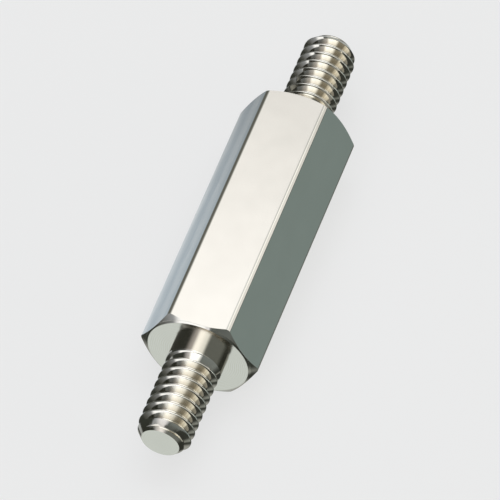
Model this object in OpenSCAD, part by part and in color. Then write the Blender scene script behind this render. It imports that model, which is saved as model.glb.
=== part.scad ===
// Hex standoff with a threaded stud at each end, turned from one length of hex bar.
// It lies on one flat, with its axis along Y, and the origin is under its middle.

/* [Hex body] */
// width across the flats of the hex bar
across_flats = 7.94; // [6:0.01:12]
// length between the two shoulders
body_length = 22.23; // [8:0.01:80]
// radius that drawing leaves on the bar's six long corners
corner_radius = 0.45; // [0.1:0.05:0.7]

/* [Turned shoulders] */
// width of the ring that the chamfer cuts into the flats, measured across the radius
face_margin = 0.1; // [0:0.05:0.5]
// angle between the shoulder's flat face and the chamfer round it
chamfer_angle = 30; // [15:1:45]

/* [Threaded studs] */
// diameter of the plain shank, which the thread's crests almost reach
shank_diameter = 4.16; // [3.6:0.01:5]
// length of each stud from its shoulder to its tip
stud_length = 7.94; // [5:0.01:20]
// plain length between the shoulder and the thread
shank_length = 0.9; // [0.4:0.05:1.5]
// length over which the thread's groove deepens from nothing
run_out = 0.8; // [0.2:0.05:1.5]
// turns of the thread in an inch
turns_per_inch = 32; // [28:1:44]
// how far each thread is turned about its stud's axis
thread_turn = 103; // [0:1:359]
// depth of the tip's chamfer, measured across the radius
tip_depth = 0.63; // [0.1:0.01:0.8]
// length of the tip's chamfer along the stud
tip_taper = 0.75; // [0.1:0.05:1.2]

/* [Hidden] */
$fn = 96;
half_body = body_length / 2;
half_flats = across_flats / 2;
corner_reach = (half_flats - corner_radius) / cos(30);
bar_reach = corner_reach + corner_radius;
blank_radius = bar_reach + 1;
face_radius = half_flats - face_margin;
chamfer_fall = (blank_radius - face_radius) * tan(chamfer_angle);
shank_radius = shank_diameter / 2;
tip_radius = shank_radius - tip_depth;
tip_reach = half_body + stud_length;
nickel = [0.80, 0.79, 0.76];

// The thread has the unified form: flanks at 30 degrees to the radius, a crest an eighth of
// the pitch wide and a root a sixth of it. It starts out of sight, inside the body.
pitch = 25.4 / turns_per_inch;
crest_radius = shank_radius - 0.01;
root_radius = crest_radius - pitch * cos(30) * 17 / 24;
flank_run = pitch * (1 - 1 / 8 - 1 / 6) / 2;
thread_start = half_body - 1.25 * pitch;
turn_steps = 36;
turns = ceil((tip_reach - thread_start) / pitch);
last_step = turns * turn_steps;
// distance along the stud and radius, from the middle of one crest to the end of the next flank
profile = [
    [-pitch / 16, crest_radius],
    [pitch / 16, crest_radius],
    [pitch / 16 + flank_run, root_radius],
    [pitch * 15 / 16 - flank_run, root_radius]
];

// A length of drawn bar, upright: flats that end where the round corners begin.
module hex_bar() {
    linear_extrude(height = body_length, center = true)
        polygon([for (corner = [0 : 5], side = [-1, 1])
            let (middle = 60 * corner, edge = middle + 30 * side)
            [corner_reach * cos(middle) + corner_radius * cos(edge),
             corner_reach * sin(middle) + corner_radius * sin(edge)]]);
    for (corner = [0 : 5])
        rotate([0, 0, 60 * corner])
            translate([corner_reach, 0, 0])
                cylinder(r = corner_radius, h = body_length, center = true);
}

// The space that the turning tool leaves: square shoulders with a chamfer round each.
module shoulder_envelope() {
    rotate_extrude()
        polygon([
            [0, -half_body],
            [face_radius, -half_body],
            [blank_radius, chamfer_fall - half_body],
            [blank_radius, half_body - chamfer_fall],
            [face_radius, half_body],
            [0, half_body]
        ]);
}

// The plain shank, from the middle of the body, with the cone on which the thread runs out.
module shank() {
    rotate_extrude()
        polygon([
            [0, 0],
            [shank_radius, 0],
            [shank_radius, half_body + shank_length],
            [root_radius - 0.02, half_body + shank_length + run_out],
            [0, half_body + shank_length + run_out]
        ]);
}

// A point of the profile, carried round and along the rod by so many steps.
function thread_point(step, place) =
    let (turned = 360 * step / turn_steps, spot = profile[place])
    [spot[1] * cos(turned), spot[1] * sin(turned), spot[0] + pitch * step / turn_steps];

// Number of that point in the list. After the profile's last point comes the next turn's first.
function at(step, place) =
    place == 4 ? 4 * (step + turn_steps) : 4 * step + place;

// A rod with a right-hand thread all along it, upright, which starts and ends in a sloping face.
module threaded_rod() {
    low_middle = 4 * (last_step + 1);
    high_middle = low_middle + 1;
    start_rim = concat(
        [for (step = [0 : turn_steps]) at(step, 0)],
        [at(0, 3), at(0, 2), at(0, 1), at(0, 0)]);
    end_rim = concat(
        [at(last_step - turn_steps, 4)],
        [for (step = [last_step - turn_steps : last_step]) at(step, 3)],
        [at(last_step, 2), at(last_step, 1), at(last_step, 0)]);
    polyhedron(
        points = concat(
            [for (step = [0 : last_step], place = [0 : 3]) thread_point(step, place)],
            [[0, 0, pitch / 2], [0, 0, pitch * (turns + 1 / 2)]]),
        faces = concat(
            [for (step = [0 : last_step - 1], place = [0 : 3])
                if (place < 3 || step < last_step - turn_steps)
                    [at(step, place), at(step, place + 1), at(step + 1, place)]],
            [for (step = [0 : last_step - 1], place = [0 : 3])
                if (place < 3 || step < last_step - turn_steps)
                    [at(step + 1, place), at(step, place + 1), at(step + 1, place + 1)]],
            [for (i = [0 : len(start_rim) - 2]) [start_rim[i], start_rim[i + 1], low_middle]],
            [for (i = [0 : len(end_rim) - 2]) [end_rim[i], high_middle, end_rim[i + 1]]]),
        convexity = 10);
}

// The threaded part of a stud, cut to length with a chamfer round its tip.
module thread() {
    intersection() {
        translate([0, 0, thread_start])
            rotate([0, 0, thread_turn])
                threaded_rod();
        rotate_extrude()
            polygon([
                [0, thread_start - pitch],
                [shank_radius + tip_depth, thread_start - pitch],
                [shank_radius + tip_depth, tip_reach - 2 * tip_taper],
                [tip_radius, tip_reach],
                [0, tip_reach]
            ]);
    }
}

// One stud, upright, with the core that joins it to the other in the middle of the body.
module stud() {
    shank();
    thread();
}

module hex_standoff() {
    color(nickel)
        translate([0, 0, half_flats])
            rotate([-90, 0, 0])
                union() {
                    intersection() {
                        hex_bar();
                        shoulder_envelope();
                    }
                    stud();
                    rotate([0, 180, 0])
                        stud();
                }
}

hex_standoff();
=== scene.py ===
# %% [markdown]
# # A hex standoff
# A standoff holds a board a fixed distance away from a panel. This one is turned from hexagonal bar: the
# middle keeps the bar's six flats, and each end is turned down to a stud and threaded. The whole part is a
# single piece of metal under bright nickel plate, lying on one of its flats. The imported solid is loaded
# first, because it is the frame that everything here has to fit. Its axis runs along Y.

# %% Load the frame
from math import cos, pi, radians, sin, tan

import bpy
from mathutils import Matrix, Vector


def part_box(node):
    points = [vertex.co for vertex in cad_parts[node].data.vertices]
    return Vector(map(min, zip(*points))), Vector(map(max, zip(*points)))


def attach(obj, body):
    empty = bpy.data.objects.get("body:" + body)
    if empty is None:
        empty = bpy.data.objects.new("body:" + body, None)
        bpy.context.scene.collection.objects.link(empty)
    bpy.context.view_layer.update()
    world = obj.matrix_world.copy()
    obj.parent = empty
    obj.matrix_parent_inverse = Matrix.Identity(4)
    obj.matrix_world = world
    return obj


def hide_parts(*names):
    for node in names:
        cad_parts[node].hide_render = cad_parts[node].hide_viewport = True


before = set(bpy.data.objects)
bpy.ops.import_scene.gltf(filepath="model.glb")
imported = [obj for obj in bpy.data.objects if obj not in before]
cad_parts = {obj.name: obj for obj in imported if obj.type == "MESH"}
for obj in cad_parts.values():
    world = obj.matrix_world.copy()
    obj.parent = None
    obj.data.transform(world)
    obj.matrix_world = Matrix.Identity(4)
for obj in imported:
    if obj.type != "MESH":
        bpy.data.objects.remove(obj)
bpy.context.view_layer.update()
print("frame nodes:", sorted(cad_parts))

# %% [markdown]
# ## Sizes
# Every size is written in millimetres, as on a drawing, and turned to metres by one factor. The width across
# the flats and the overall length come from the frame, so the model can't drift away from it. Only the
# hexagon's length is a value of its own, seven eighths of an inch, and the two studs share what is left.

# %% Sizes
MM = 0.001
BODY = 22.23 * MM
low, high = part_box("hex_standoff")
FLATS = high.z - low.z
STUD = (high.y - low.y - BODY) / 2
AXIS_HEIGHT = FLATS / 2
print("across flats %.2f mm, hexagon %.2f mm, studs %.2f mm" % (FLATS / MM, BODY / MM, STUD / MM))


# %% [markdown]
# ## Small helpers
# Operators in Blender act on whatever is selected, so every step starts from a clean selection. One helper
# picks vertices, edges or faces by a rule instead of by hand. The last one cuts, keeps or joins two solids
# with a Boolean modifier and applies it at once, as a lathe or a weld would.

# %% Helpers
def select_only(piece):
    bpy.ops.object.select_all(action="DESELECT")
    piece.select_set(True)
    bpy.context.view_layer.objects.active = piece


def start_editing(piece, kind="VERT"):
    select_only(piece)
    bpy.ops.object.mode_set(mode="EDIT")
    bpy.ops.mesh.select_mode(type=kind)
    bpy.ops.mesh.select_all(action="DESELECT")


def pick(piece, wanted, parts):
    """Selects the vertices, edges or polygons of a piece in edit mode for which wanted(part) is true."""
    bpy.ops.mesh.select_all(action="DESELECT")
    bpy.ops.object.mode_set(mode="OBJECT")
    for part in getattr(piece.data, parts):
        part.select = wanted(part)
    bpy.ops.object.mode_set(mode="EDIT")


def stop_editing():
    bpy.ops.object.mode_set(mode="OBJECT")


def apply_place(piece):
    select_only(piece)
    bpy.ops.object.transform_apply(location=True, rotation=True, scale=True)


def combine(piece, other, operation):
    """Intersects or joins piece with other, then deletes other."""
    select_only(piece)
    bpy.ops.object.modifier_add(type="BOOLEAN")
    boolean = piece.modifiers[-1]
    boolean.object = other
    boolean.operation = operation
    boolean.solver = "EXACT"
    bpy.ops.object.modifier_apply(modifier=boolean.name)
    bpy.data.objects.remove(other)
    print(operation.lower(), "->", len(piece.data.polygons), "faces")


# %% [markdown]
# ## The hexagonal bar
# Drawn hex bar has six flats and slightly rounded long corners. A cylinder with six sides is already a
# hexagonal prism, so one is added at its size, lying along Y with a flat underneath, and only its six long
# edges are bevelled. Eight segments make each corner a true round, tangent to both flats. A modelled round
# is worth its faces on polished metal, because it gives every corner a thin line of light of its own.

# %% Bar
CORNER_RADIUS = 0.45 * MM
CORNER_STEPS = 8
bpy.ops.mesh.primitive_cylinder_add(
    vertices=6, radius=FLATS / 2 / cos(pi / 6), depth=BODY,
    location=(0, 0, AXIS_HEIGHT), rotation=(pi / 2, pi / 6, 0))
body = bpy.context.object
body.name = "turned_standoff"
apply_place(body)


def runs_along(edge):
    ends = [body.data.vertices[index].co for index in edge.vertices]
    return abs(ends[0].y - ends[1].y) > BODY / 2


start_editing(body, "EDGE")
pick(body, runs_along, "edges")
bpy.ops.mesh.bevel(
    offset=CORNER_RADIUS * tan(pi / 6), offset_type="OFFSET",
    segments=CORNER_STEPS, profile=0.5, affect="EDGES")
stop_editing()
print("bar:", len(body.data.polygons), "faces")


# %% [markdown]
# ## Turned shoulders
# In the lathe, a tool faces each end of the bar flat and then chamfers it at thirty degrees. The chamfer is
# a cone, so it cuts deep into the six corners and hardly touches the middle of the flats, which leaves the
# scalloped edge that every nut has. Bevelling the end's edges would give six straight chamfers instead. So
# the shape that the tool leaves is made, a fat round blank with a cone at each end, and only what the bar
# shares with that blank is kept.

# %% Turned blank
ROUND_STEPS = 192
FACES_ALONG = 0.9  # a face looks along the axis where its normal passes this


def turned_blank(radius, start, end, tips):
    """A round blank along Y from start to end. Each tip is (side, length, radius): a cone on that end."""
    bpy.ops.mesh.primitive_cylinder_add(
        vertices=ROUND_STEPS, radius=radius, depth=end - start,
        location=(0, (start + end) / 2, AXIS_HEIGHT), rotation=(pi / 2, 0, 0))
    blank = bpy.context.object
    apply_place(blank)
    start_editing(blank, "FACE")
    for side, length, tip_radius in tips:
        pick(blank, lambda face: face.normal.y * side > FACES_ALONG, "polygons")
        bpy.ops.mesh.extrude_region_move(TRANSFORM_OT_translate={"value": (0, side * length, 0)})
        bpy.ops.transform.resize(
            value=(tip_radius / radius, 1, tip_radius / radius),
            center_override=(0, 0, AXIS_HEIGHT))
    stop_editing()
    return blank


# %% Shoulders
CHAMFER_ANGLE = radians(30)
FACE_MARGIN = 0.1 * MM  # how far the chamfer reaches into the flats
BLANK_SPARE = 1 * MM  # how far the blank stands clear of the bar's corners
FACE_RADIUS = FLATS / 2 - FACE_MARGIN
BLANK_RADIUS = FLATS / 2 / cos(pi / 6) + BLANK_SPARE
chamfer_length = (BLANK_RADIUS - FACE_RADIUS) * tan(CHAMFER_ANGLE)
flank = BODY / 2 - chamfer_length
envelope = turned_blank(
    BLANK_RADIUS, -flank, flank,
    [(-1, chamfer_length, FACE_RADIUS), (1, chamfer_length, FACE_RADIUS)])
combine(body, envelope, "INTERSECT")


# %% [markdown]
# ## The thread
# A thread is one groove profile carried round and along the stud at the same time, which is what the Screw
# modifier does. This is No. 8-32: thirty-two turns to the inch, on a stud a little over four millimetres
# thick. The profile of one turn starts as a single vertex and is extruded point by point: half a crest, a
# flank at thirty degrees, a rounded root, and the same again in reverse.

# %% Thread profile
PITCH = 25.4 / 32 * MM
SHANK_RADIUS = 2.08 * MM
CREST_GAP = 0.01 * MM  # how far the crests stay below the plain shank
CREST_RADIUS = SHANK_RADIUS - CREST_GAP
CREST_ROUND = 0.035 * MM
ROOT_ROUND = 0.144 * PITCH
FLANK_ANGLE = radians(30)
FLANK_REACH = PITCH * 7 / 16  # from the middle of a root to the edge of its crest
SHARP_ROOT = CREST_RADIUS - FLANK_REACH / tan(FLANK_ANGLE)
HALF_ROOT_STEPS = 3
CREST_STEPS = 3


def profile_points():
    """(distance along the stud, radius) from the middle of one crest to the middle of the next."""
    half = [(0, SHARP_ROOT + ROOT_ROUND)]
    for step in range(1, HALF_ROOT_STEPS + 1):
        turn = (pi / 2 - FLANK_ANGLE) * step / HALF_ROOT_STEPS
        half.append((ROOT_ROUND * sin(turn), SHARP_ROOT + 2 * ROOT_ROUND - ROOT_ROUND * cos(turn)))
    crest_edge = FLANK_REACH + CREST_ROUND * tan(pi / 4 - FLANK_ANGLE / 2)
    for step in range(CREST_STEPS + 1):
        turn = (pi / 2 - FLANK_ANGLE) * (1 - step / CREST_STEPS)
        half.append((crest_edge - CREST_ROUND * sin(turn), CREST_RADIUS - CREST_ROUND * (1 - cos(turn))))
    half.append((PITCH / 2, CREST_RADIUS))
    return [(-along, radius) for along, radius in reversed(half)] + half[1:]


points = profile_points()
root_radius = min(radius for along, radius in points)
print("profile: %d points, groove %.2f mm deep" % (len(points), (CREST_RADIUS - root_radius) / MM))

# %% [markdown]
# The profile is laid out a few turns beyond the tip, so that the thread can be cut to length afterwards.
# THREAD_START and THREAD_TURN say where a crest passes the top of the stud, which sets how the thread stands
# against the hexagon.

# %% Profile in place
THREAD_START = BODY / 2 - 1.25 * PITCH
THREAD_TURN = radians(103)
SPARE_TURNS = 4
shoulder = -BODY / 2
tip = shoulder - STUD
turns = round(STUD / PITCH) + SPARE_TURNS
crest_on_top = THREAD_START - PITCH * (pi / 2 + THREAD_TURN) / (2 * pi)
first_crest = -crest_on_top - PITCH * turns
bpy.ops.mesh.primitive_plane_add(size=PITCH, location=(0, first_crest + PITCH / 2, AXIS_HEIGHT))
stud = bpy.context.object
start_editing(stud)
bpy.ops.mesh.select_all(action="SELECT")
bpy.ops.mesh.merge(type="CENTER")
bpy.ops.transform.translate(value=(0, points[0][0], points[0][1]))
for before, after in zip(points, points[1:]):
    step = (0, after[0] - before[0], after[1] - before[1])
    bpy.ops.mesh.extrude_vertices_move(TRANSFORM_OT_translate={"value": step})
stop_editing()
print("profile:", len(stud.data.vertices), "vertices,", turns, "turns to make")

# %% [markdown]
# Now the profile is screwed along the axis. It is a right-handed thread, as almost every one is. Stacked
# turns meet exactly, so merging their doubles gives one smooth surface, and bisecting it at both ends with
# fill closes it into a solid.

# %% Thread
THREAD_STEPS = 96
MERGE_WITHIN = 0.001 * MM
bpy.ops.object.modifier_add(type="SCREW")
screw = stud.modifiers[-1]
screw.axis = "Y"
screw.steps = THREAD_STEPS
screw.render_steps = THREAD_STEPS
screw.screw_offset = PITCH
screw.iterations = turns
bpy.ops.object.modifier_apply(modifier=screw.name)
apply_place(stud)
start_editing(stud)
bpy.ops.mesh.select_all(action="SELECT")
bpy.ops.mesh.remove_doubles(threshold=MERGE_WITHIN)
for place, side in ((tip - PITCH / 2, -1), (shoulder + PITCH / 2, 1)):
    bpy.ops.mesh.select_all(action="SELECT")
    bpy.ops.mesh.bisect(
        plane_co=(0, place, AXIS_HEIGHT), plane_no=(0, side, 0),
        use_fill=True, clear_outer=True)
bpy.ops.mesh.select_all(action="SELECT")
bpy.ops.mesh.normals_make_consistent(inside=False)
stop_editing()
print("thread:", len(stud.data.polygons), "faces")

# %% [markdown]
# ## Tip and run-out
# A lathe turns a lead-in cone on the tip before the thread is cut, so the thread is kept only inside a blank
# of that shape, a hair wider than its crests. Near the shoulder the threading die has to stop: its groove
# runs out over most of a millimetre and leaves a plain shank. So a core that widens from the thread's root
# to the full shank is joined to the stud, and the groove fades where the core rises through it.

# %% Tip
SLACK = 0.02 * MM
TIP_DEPTH = 0.63 * MM
TIP_RADIUS = SHANK_RADIUS - TIP_DEPTH
TIP_TAPER = 0.75 * MM
blank_radius = SHANK_RADIUS + SLACK
taper = TIP_TAPER * (blank_radius - TIP_RADIUS) / (SHANK_RADIUS - TIP_RADIUS)
blank = turned_blank(blank_radius, tip + taper, shoulder + PITCH, [(-1, taper, TIP_RADIUS)])
combine(stud, blank, "INTERSECT")

# %% Run-out
SHANK_LENGTH = 0.9 * MM
RUN_OUT = 0.8 * MM
core = turned_blank(
    SHANK_RADIUS, shoulder - SHANK_LENGTH, shoulder + PITCH,
    [(-1, RUN_OUT, root_radius - SLACK)])
combine(stud, core, "UNION")

# %% [markdown]
# ## Two studs
# Both ends are alike, so the stud is copied and turned end for end about the middle of the part. A mirrored
# copy would be quicker, but it would turn a right-handed thread into a left-handed one. Then both are joined
# to the hexagon, because the real part is one piece of metal.

# %% Both studs
select_only(stud)
bpy.ops.object.duplicate()
far_stud = bpy.context.object
bpy.ops.transform.rotate(value=pi, orient_axis="Z", center_override=(0, 0, AXIS_HEIGHT))
apply_place(far_stud)
combine(body, stud, "UNION")
combine(body, far_stud, "UNION")

# %% [markdown]
# ## Smooth shading
# Flats have to look flat and turned surfaces round. Faces that meet at less than twenty-five degrees are
# shaded smooth, and Weighted Normal then lets the larger face decide the shading at each vertex, so that the
# small rounds don't pull a false gradient over the flats. The modifier weighs faces by area, and on a part
# this small the areas round to nothing, so the piece is enlarged a thousand times while it works.

# %% Shading
ENLARGED = 1 / MM
SMOOTH_BELOW = radians(25)
select_only(body)
bpy.ops.object.shade_smooth_by_angle(angle=SMOOTH_BELOW)
body.scale = (ENLARGED, ENLARGED, ENLARGED)
apply_place(body)
bpy.ops.object.modifier_add(type="WEIGHTED_NORMAL")
body.modifiers[-1].keep_sharp = True
bpy.ops.object.modifier_apply(modifier=body.modifiers[-1].name)
body.scale = (MM, MM, MM)
apply_place(body)
print("standoff:", len(body.data.polygons), "faces")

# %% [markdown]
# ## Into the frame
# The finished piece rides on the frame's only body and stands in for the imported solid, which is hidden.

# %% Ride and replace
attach(body, "root")
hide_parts("hex_standoff")
print("riding:", body.name)


# %% [markdown]
# ## Nickel plate
# The part is machined first and then plated in a bright nickel bath, which lays down a warm, nearly white
# mirror about a hundredth of a millimetre thick. A mirror shows what lies under it: the long fine lines that
# the drawing die left on the flats, the rings that the facing tool left on the ends, and a slow waviness. So
# one material is enough, a metal with its default index of refraction. Its patterns tilt the surface a
# little, change how sharp the reflection is and vary its tone at random, and painted shade darkens the
# thread's grooves and the low parts of the facing rings. Two helpers come first, one for colours and one for
# nodes.

# %% Colour and node helpers
def linear(hex_colour):
    """sRGB hex, as a painter's swatch gives it, to the linear values that Blender mixes."""
    shares = [int(hex_colour[i:i + 2], 16) / 255 for i in (1, 3, 5)]
    return [s / 12.92 if s <= 0.04045 else ((s + 0.055) / 1.055) ** 2.4 for s in shares] + [1]


def add_node(tree, kind, links=(), out=0, **settings):
    """Adds a node and gives back its output. A setting is a socket's value or the node's own property, and
    links go from a socket to another node's output or to a plain number. With out=None, all outputs."""
    node = tree.nodes.new(kind)
    for name, value in settings.items():
        if name in node.inputs:
            node.inputs[name].default_value = value
        else:
            setattr(node, name, value)
    for socket, source in dict(links).items():
        if isinstance(source, bpy.types.NodeSocket):
            tree.links.new(source, node.inputs[socket])
        else:
            node.inputs[socket].default_value = source
    return node.outputs if out is None else node.outputs[out]


# %% Nickel
# Polished nickel: fully metallic, a warm white, and a mirror that is only just softened.
nickel = bpy.data.materials.new("bright_nickel_plate")
nickel.use_nodes = True
tree = nickel.node_tree
shader = tree.nodes["Principled BSDF"]
shader.inputs["Metallic"].default_value = 1
body.data.materials.clear()
body.data.materials.append(nickel)
print("material:", nickel.name)

# %% [markdown]
# ### Patterns under the plate
# All patterns read the object's own coordinates. One Mapping node centres them on the part's axis and turns
# metres to millimetres, so that each pattern's scale can be written as the real size of its features.

# %% Patterns
coordinates = add_node(tree, "ShaderNodeTexCoord", out=None)
millimetres = add_node(
    tree, "ShaderNodeMapping", Scale=(1 / MM, 1 / MM, 1 / MM), Location=(0, 0, -AXIS_HEIGHT / MM),
    links={"Vector": coordinates["Object"]})
PATTERNS = (
    # Waves about two millimetres long, which pull slow patches of light and shade over the flats.
    ("waviness", (1.6, 2.6, 1.6), 1.0, 0.4),
    # The die's lines along the bar: about 0.02 mm wide in truth, drawn 0.1 mm wide so that they show at all.
    ("die lines", (0.1, 7, 0.1), 2.0, 0.6),
    # The plate's own grain: about 0.02 mm in truth, drawn at 0.16 mm for the same reason.
    ("plate grain", (0.16, 0.16, 0.16), 2.0, 0.7),
)
noise = {}
for name, size, detail, roughness in PATTERNS:
    stretched = add_node(
        tree, "ShaderNodeMapping", Scale=[1 / length for length in size], links={"Vector": millimetres})
    noise[name] = add_node(
        tree, "ShaderNodeTexNoise", Scale=1, Detail=detail, Roughness=roughness, links={"Vector": stretched})
print("patterns:", ", ".join(noise))

# %% [markdown]
# The facing tool moves outwards while the part spins, so its marks are rings about the axis. A sine of the
# distance from the axis draws them. The same distance tells how deep a point lies in the thread, and its
# square bulges all six flats at once, because along a flat it grows just as the square of the distance from
# the flat's middle line.

# %% Distance from the axis
RING_FEED = 0.16  # 0.05 mm a turn in truth, drawn wider so that the rings show
across = add_node(tree, "ShaderNodeMapping", Scale=(1, 0, 1), links={"Vector": millimetres})
radius = add_node(tree, "ShaderNodeVectorMath", out="Value", operation="LENGTH", links={0: across})
crown = add_node(tree, "ShaderNodeMath", operation="MULTIPLY", links={0: radius, 1: radius})
rings = add_node(tree, "ShaderNodeMath", operation="MULTIPLY", links={0: radius, 1: 2 * pi / RING_FEED})
rings = add_node(tree, "ShaderNodeMath", operation="SINE", links={0: rings})
print("rings every %.2f mm" % RING_FEED)

# %% [markdown]
# Masks keep each pattern where its tool has been. A face was faced off in the lathe where its normal points
# along the axis, and it belongs to the bar where it lies between the shoulders.

# %% Masks
FACED_FROM, FACED_FULLY = 0.9, 0.99  # how far a normal points along the axis
SHOULDER_GAP = 0.1  # mm of the bar beside each shoulder that is left out
CREST_DEPTH = 0.05  # mm below the crests at which the groove begins
facing = add_node(tree, "ShaderNodeSeparateXYZ", out="Y", links={0: coordinates["Normal"]})
facing = add_node(tree, "ShaderNodeMath", operation="ABSOLUTE", links={0: facing})
faced = add_node(
    tree, "ShaderNodeMapRange", interpolation_type="SMOOTHSTEP",
    links={0: facing, 1: FACED_FROM, 2: FACED_FULLY})
unfaced = add_node(tree, "ShaderNodeMath", operation="SUBTRACT", links={0: 1.0, 1: faced})
along = add_node(tree, "ShaderNodeSeparateXYZ", out="Y", links={0: millimetres})
along = add_node(tree, "ShaderNodeMath", operation="ABSOLUTE", links={0: along})
on_bar = add_node(
    tree, "ShaderNodeMath", operation="LESS_THAN", links={0: along, 1: BODY / 2 / MM - SHOULDER_GAP})
on_bar = add_node(tree, "ShaderNodeMath", operation="MULTIPLY", links={0: on_bar, 1: unfaced})
# How deep a point lies in the thread: nothing on the crests and the hexagon, one at the root.
# The same depth softens the gloss and sets the painted shade in the grooves.
groove = add_node(
    tree, "ShaderNodeMapRange",
    links={0: radius, 1: CREST_RADIUS / MM - CREST_DEPTH, 2: root_radius / MM})
groove = add_node(tree, "ShaderNodeMath", operation="MULTIPLY", links={0: groove, 1: unfaced})
print("masks: the bar ends %.2f mm from the middle" % (BODY / 2 / MM - SHOULDER_GAP))

# %% [markdown]
# ### Relief
# Each pattern becomes a height in millimetres and their sum goes through one Bump node. The heights are
# tiny, a few thousandths of a millimetre at most, yet a mirror shows them.

# %% Relief
RELIEF = (
    (crown, on_bar, -0.0052), (noise["waviness"], None, 0.0052), (noise["die lines"], unfaced, 0.0003),
    (noise["plate grain"], None, 0.0003), (rings, faced, 0.0002),
)
height = 0.0
for pattern, mask, depth in RELIEF:
    if mask is not None:
        pattern = add_node(tree, "ShaderNodeMath", operation="MULTIPLY", links={0: pattern, 1: mask})
    height = add_node(
        tree, "ShaderNodeMath", operation="MULTIPLY_ADD", links={0: pattern, 1: depth * MM, 2: height})
relief = add_node(tree, "ShaderNodeBump", Strength=1.0, Distance=1.0, links={"Height": height})
tree.links.new(relief, shader.inputs["Normal"])
print("relief from", len(RELIEF), "patterns")

# %% [markdown]
# ### Gloss, colour and painted shade
# Bright plate has a roughness of about 0.06. It is a little softer along the die's lines, in the thread's
# grooves, where less current reaches, and on the faced ends. The metal's colour varies at random, a touch
# warmer where the plate is thin, and painted shade darkens the grooves and the low parts of the facing rings.

# %% Gloss
BRIGHT_ROUGHNESS, LINED_ROUGHNESS = 0.06, 0.10
NOISE_LOW, NOISE_HIGH = 0.3, 0.7  # where nearly all of a noise lies
gloss = add_node(
    tree, "ShaderNodeMapRange",
    links={0: noise["die lines"], 1: NOISE_LOW, 2: NOISE_HIGH, 3: BRIGHT_ROUGHNESS, 4: LINED_ROUGHNESS})
for mask, softer in ((groove, 0.03), (faced, 0.04)):
    gloss = add_node(tree, "ShaderNodeMath", operation="MULTIPLY_ADD", links={0: mask, 1: softer, 2: gloss})
tree.links.new(gloss, shader.inputs["Roughness"])
print("roughness from %.2f" % BRIGHT_ROUGHNESS)

# %% Colour and painted shade
THIN_PLATE, THICK_PLATE = linear("#D5D1C9"), linear("#DBD7CF")
# Painted shade: these darken the colour in the thread's grooves and between the facing rings.
GROOVE_PAINTED_SHADE, RING_PAINTED_SHADE = linear("#E9E6E1"), linear("#F6F5F3")
colour_and_painted_shade = add_node(tree, "ShaderNodeMixRGB", links={0: noise["waviness"], 1: THIN_PLATE, 2: THICK_PLATE})
# Painted shade on the faced ends, full where the rings' sine is lowest and none where it is highest.
ring_shade_mask = add_node(tree, "ShaderNodeMapRange", links={0: rings, 1: -1.0, 2: 1.0, 3: 1.0, 4: 0.0})
ring_shade_mask = add_node(tree, "ShaderNodeMath", operation="MULTIPLY", links={0: ring_shade_mask, 1: faced})
# The painted shade is multiplied into the colour, deepest at the thread's roots.
for mask, shade in ((groove, GROOVE_PAINTED_SHADE), (ring_shade_mask, RING_PAINTED_SHADE)):
    colour_and_painted_shade = add_node(tree, "ShaderNodeMixRGB", blend_type="MULTIPLY", links={0: mask, 1: colour_and_painted_shade, 2: shade})
tree.links.new(colour_and_painted_shade, shader.inputs["Base Color"])
print("nickel:", len(tree.nodes), "nodes")

# %% [markdown]
# ## Floor
# The part lies on pale paper. If only lamps made that paper bright, they would burn out the metal. Light
# Path tells which rays come straight from the camera, so for those rays four fifths of the paper's tone is
# given as emission and the rest is left to the studio's light, which keeps the part's soft shadow. That
# light falls about a tenth short of the paper's tone, so the emission is a little over it. The floor is
# hidden from reflections, and the next step says what the metal sees in its place. To let the metal mirror
# the paper itself, make the floor visible to glossy rays and add Is Glossy Ray to the rays that see it glow.

# %% Floor
PAPER = linear("#E9E9E9")
PAPER_GLOW = 1.04
GLOWING_SHARE = 0.8
FLOOR_SIZE = 3
bpy.ops.mesh.primitive_plane_add(size=FLOOR_SIZE, location=(0, 0, 0))
floor = bpy.context.object
floor.name = "floor"
floor.visible_glossy = False
paper = bpy.data.materials.new("pale_paper_floor")
paper.use_nodes = True
floor.data.materials.append(paper)
tree = paper.node_tree
tree.nodes.remove(tree.nodes["Principled BSDF"])
from_camera = add_node(tree, "ShaderNodeLightPath", out="Is Camera Ray")
share = add_node(tree, "ShaderNodeMath", operation="MULTIPLY", links={0: from_camera, 1: GLOWING_SHARE})
lit = add_node(tree, "ShaderNodeBsdfDiffuse", Color=PAPER)
glow = add_node(tree, "ShaderNodeEmission", Color=PAPER, Strength=PAPER_GLOW)
mixed = add_node(tree, "ShaderNodeMixShader", links={0: share, 1: lit, 2: glow})
tree.links.new(mixed, tree.nodes["Material Output"].inputs["Surface"])
print("floor: %.0f m across" % floor.dimensions.x)
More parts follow.
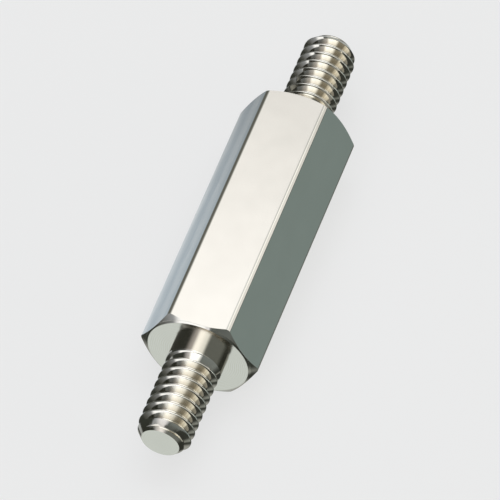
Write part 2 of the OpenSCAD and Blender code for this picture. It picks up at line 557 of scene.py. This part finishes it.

# %% [markdown]
# ## Studio
# A mirror has hardly any colour of its own: it shows the room. A bright metal part is lit with large cards
# and dark gaps between them, and the edges of those cards draw its shape. Here the room is the world's
# background. Each row below is a card with soft edges, placed by its turn about the part's axis and by where
# it lies along it, because the cards are far away and only their direction matters. Rows that overlap add up.
#
# The rows named paper stand for the floor in the metal, bright in front, cool on the left and shaded on the
# right, much darker in places than the paper that the camera sees. The real paper would fill both side
# flats with nearly the same pale tone, so it is left out of reflections. That is a choice for the look and
# not what a real floor does. The camera itself sees plain paper in every direction.
#
# These cards are not a plan of real lamps. An optimiser first found the places and tones of about half of
# them, to give this part one wanted look, and the rest were set one by one. Another part needs its own.

# %% Cards
# name; turn from straight up and half the width, in degrees; near and far end, as a share of the direction
# that points along the axis, from -1 to 1; width of the soft edges, in degrees and in shares; linear tone
CARDS = (
    ("overhead", -15, 24, -1.14, 0.60, 30, 0.13, 0.13, (0.68, 0.66, 0.68)),
    ("overhead, heart", 4, 23, 0.12, 0.44, 17, 0.14, 0.26, (2.30, 2.46, 2.60)),
    ("overhead, middle", 4, 23, -0.42, 0.15, 17, 0.10, 0.14, (0.55, 0.60, 0.65)),
    ("overhead, near end", 4, 23, -0.70, -0.42, 17, 0.16, 0.10, (1.50, 1.56, 1.58)),
    ("overhead, far edge", -10, 44, 0.41, 0.62, 30, 0.05, 0.19, (0.67, 0.69, 0.69)),
    ("overhead, right side", 45, 38, -0.21, 0.44, 6, 0.05, 0.05, (0.42, 0.39, 0.31)),
    ("strip on the right", 54, 28, 0.45, 0.71, 6, 0.05, 0.05, (0.45, 0.45, 0.43)),
    ("strip on the right, heart", 54, 28, 0.53, 0.578, 6, 0.02, 0.02, (0.66, 0.66, 0.66)),
    ("warm card on the right", 83, 18, -0.28, 0.34, 8, 0.05, 0.26, (1.02, 1.00, 0.90)),
    ("card on the near right", 67, 43, -0.99, 0.04, 30, 0.40, 0.05, (0.18, 0.20, 0.20)),
    ("card on the left", -47, 21, -0.01, 0.36, 6, 0.05, 0.05, (0.22, 0.25, 0.29)),
    ("ledge on the left", -29, 12, 0.36, 0.39, 6, 0.05, 0.05, (1.61, 1.87, 2.15)),
    ("far wall", -6, 49, 0.82, 1.20, 30, 0.05, 0.10, (0.62, 0.66, 0.64)),
    ("near wall", -44, 60, -1.10, -0.63, 30, 0.10, 0.05, (0.40, 0.42, 0.46)),
    ("right wall", 106, 29, -0.08, 0.47, 6, 0.05, 0.05, (0.50, 0.50, 0.46)),
    ("left wall", -119, 19, -0.08, 0.42, 8, 0.06, 0.06, (0.50, 0.53, 0.56)),
    ("shade above the left wall", -76, 55, 0.48, 0.60, 8, 0.06, 0.08, (0.11, 0.11, 0.10)),
    ("paper, far side", 180, 84, 0.66, 1.20, 16, 0.06, 0.10, (0.44, 0.46, 0.46)),
    ("paper, far right", 111, 21, 0.24, 0.66, 8, 0.05, 0.05, (0.20, 0.26, 0.26)),
    ("paper, far left", -138, 14, 0.48, 0.578, 8, 0.06, 0.08, (0.38, 0.46, 0.55)),
    ("paper, far left, light edge", -133.8, 0.6, 0.48, 0.60, 0.8, 0.06, 0.08, (0.24, 0.23, 0.22)),
    ("paper, under the far left", -155, 18, 0.48, 0.59, 4, 0.06, 0.08, (0.56, 0.54, 0.52)),
    ("paper, under the far right", 158, 22, 0.46, 0.62, 8, 0.06, 0.06, (0.15, 0.16, 0.15)),
    ("paper, beneath", -170, 22, -0.38, 0.46, 10, 0.10, 0.06, (0.36, 0.37, 0.35)),
    ("paper, near side", -157, 17, -0.82, -0.38, 8, 0.15, 0.08, (0.76, 0.83, 0.83)),
    ("paper, near side, beyond", -160, 46, -1.20, -0.80, 10, 0.10, 0.10, (0.60, 0.64, 0.64)),
    ("paper, near right", 167, 14, -0.80, -0.38, 10, 0.10, 0.10, (0.30, 0.32, 0.30)),
    ("paper, near left", -76, 32, -1.10, -0.84, 14, 0.06, 0.08, (1.02, 1.03, 1.05)),
    ("paper, near left, lower", -130, 24, -1.00, -0.55, 20, 0.15, 0.15, (0.07, 0.07, 0.07)),
)
GAPS = (0.048, 0.053, 0.046)  # the dim tone between the cards
print("studio:", len(CARDS), "cards")

# %% World
world = bpy.data.worlds.new("studio")
world.use_nodes = True
bpy.context.scene.world = world
tree = world.node_tree
direction = add_node(tree, "ShaderNodeTexCoord", out="Generated")
look = add_node(tree, "ShaderNodeSeparateXYZ", out=None, links={0: direction})
around = add_node(tree, "ShaderNodeMath", operation="ARCTAN2", links={0: look["X"], 1: look["Z"]})
tone = GAPS
for name, turn, half, near, far, soft, near_soft, far_soft, colour in CARDS:
    off = add_node(tree, "ShaderNodeMath", operation="SUBTRACT", links={0: around, 1: radians(turn)})
    off = add_node(tree, "ShaderNodeMath", operation="WRAP", links={0: off, 1: pi, 2: -pi})
    off = add_node(tree, "ShaderNodeMath", operation="ABSOLUTE", links={0: off})
    share = 1.0
    for value, outside, inside in (
            (off, radians(half + soft / 2), radians(half - soft / 2)),
            (look["Y"], near - near_soft / 2, near + near_soft / 2),
            (look["Y"], far + far_soft / 2, far - far_soft / 2)):
        edge = add_node(
            tree, "ShaderNodeMapRange", interpolation_type="SMOOTHSTEP",
            links={0: value, 1: outside, 2: inside})
        share = add_node(tree, "ShaderNodeMath", operation="MULTIPLY", links={0: share, 1: edge})
    tone = add_node(
        tree, "ShaderNodeVectorMath", operation="MULTIPLY_ADD", links={0: colour, 1: share, 2: tone})
from_camera = add_node(tree, "ShaderNodeLightPath", out="Is Camera Ray")
tone = add_node(tree, "ShaderNodeMixRGB", links={0: from_camera, 1: tone, 2: PAPER})
tree.links.new(tone, tree.nodes["Background"].inputs["Color"])
print("world:", len(tree.nodes), "nodes")

# %% [markdown]
# ## Camera
# The part is seen from above and a little to its right with a long lens, from about ten times its own length
# away, so its two ends look nearly the same size. A camera looks along its own -Z axis, so the direction
# from the part back to the camera becomes the camera's Z axis, and a small roll follows. AIM is the pixel
# where the middle of the part falls in a picture of 500 by 500. The camera is moved sideways to put it
# there, so the lens needs no shift.

# %% Camera
VIEW_ELEVATION = radians(54.02)
VIEW_AZIMUTH = radians(20.05)
VIEW_ROLL = radians(-0.68)
VIEW_DISTANCE = 380 * MM
FOCAL_PIXELS = 5157
PICTURE = 500
SENSOR_WIDTH = 36
NEAREST_SEEN = 0.01
AIM = (248.96, 239.85)
back = Vector((
    sin(VIEW_AZIMUTH) * cos(VIEW_ELEVATION),
    -cos(VIEW_AZIMUTH) * cos(VIEW_ELEVATION),
    sin(VIEW_ELEVATION)))
turn = back.to_track_quat("Z", "Y").to_matrix() @ Matrix.Rotation(VIEW_ROLL, 3, "Z")
right, up = turn @ Vector((1, 0, 0)), turn @ Vector((0, 1, 0))
pixel = VIEW_DISTANCE / FOCAL_PIXELS
aside = right * (PICTURE / 2 - AIM[0]) * pixel + up * (AIM[1] - PICTURE / 2) * pixel
bpy.ops.object.camera_add()
camera = bpy.context.object
camera.data.sensor_width = SENSOR_WIDTH
camera.data.lens = FOCAL_PIXELS / PICTURE * camera.data.sensor_width
camera.data.clip_start = NEAREST_SEEN
camera.location = Vector((0, 0, AXIS_HEIGHT)) + back * VIEW_DISTANCE + aside
camera.rotation_mode = "QUATERNION"
camera.rotation_quaternion = turn.to_quaternion()
bpy.context.scene.camera = camera
bpy.context.scene.view_settings.view_transform = "Standard"
print("camera: %.0f mm lens" % camera.data.lens)
